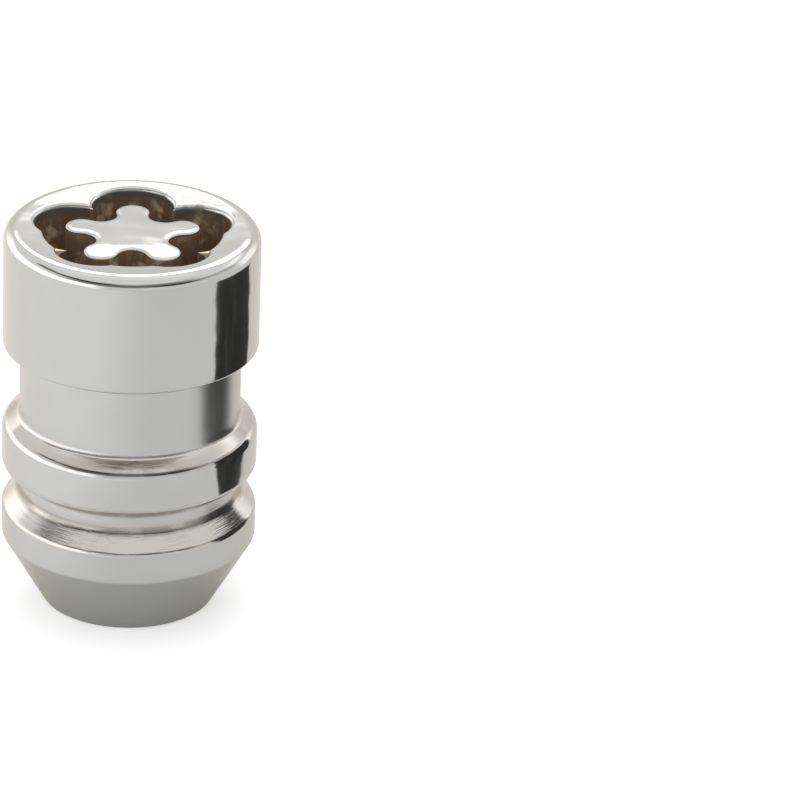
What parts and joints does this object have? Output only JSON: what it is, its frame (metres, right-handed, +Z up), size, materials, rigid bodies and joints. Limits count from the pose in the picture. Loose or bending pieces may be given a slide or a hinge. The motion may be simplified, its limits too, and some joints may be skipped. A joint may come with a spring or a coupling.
{
  "type": "locking wheel nut",
  "caption": "Round closed-end locking wheel nut with a lobed key groove round a star in its head, a necked body, a collar and a conical seat.",
  "frame": {"origin": "centre of the seat's small end, on the thread axis, where the nut stands", "axes": "+Z up the axis from the seat to the keyed head; +Y towards the lobe that the picture shows at the back"},
  "size_m": [0.022, 0.022, 0.0345],
  "materials": {
    "chrome": "bright chrome plate on steel, browned in the key groove"
  },
  "bodies": {
    "root": {"wheel_nut": "chrome"}
  },
  "joints": []
}
